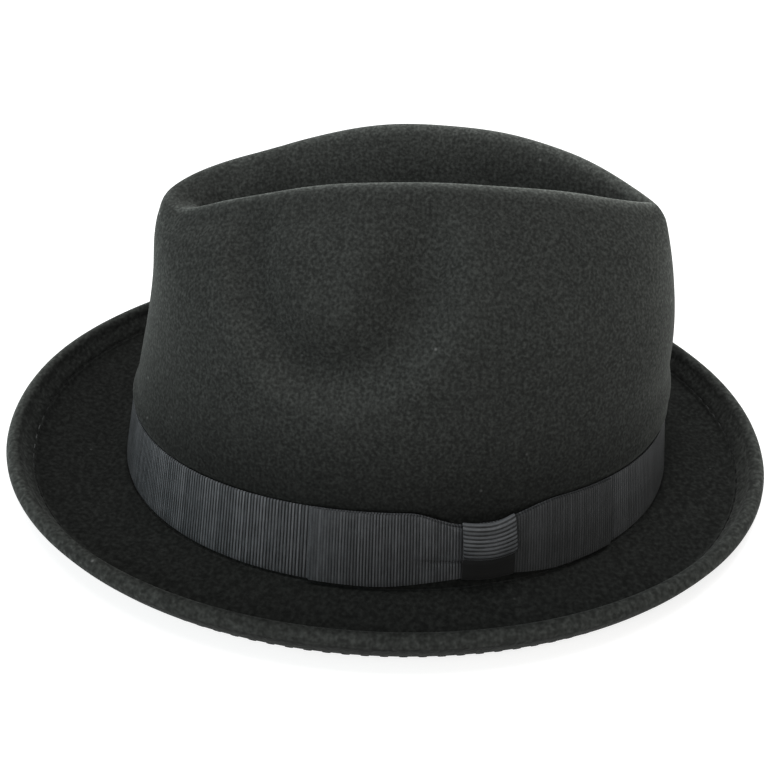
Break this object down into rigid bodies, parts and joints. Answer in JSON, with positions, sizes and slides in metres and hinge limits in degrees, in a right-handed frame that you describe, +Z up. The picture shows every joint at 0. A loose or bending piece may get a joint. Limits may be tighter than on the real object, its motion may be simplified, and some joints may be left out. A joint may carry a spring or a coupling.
{
  "type": "fedora",
  "caption": "Soft black felt fedora with a teardrop crown, pinched front, brim turned up at its welted edge, and a ribbed ribbon band with a flat bow on the wearer's left.",
  "frame": {"origin": "On the surface that the brim rests on, below the middle of the brim's outline.", "axes": "+Z up, -Y to the front of the hat (the pinched end of the crown), +X to the wearer's left, where the bow is."},
  "size_m": [0.2358, 0.2858, 0.1242],
  "materials": {
    "felt": "matt black wool felt with a short fuzz and specks of lint",
    "ribbon": "black grosgrain ribbon with fine crosswise ribs and a dull sheen"
  },
  "bodies": {
    "root": {"felt_body": "felt", "ribbon_band": "ribbon", "bow_front_loop": "ribbon", "bow_knot": "ribbon", "bow_back_loop": "ribbon"}
  },
  "joints": []
}
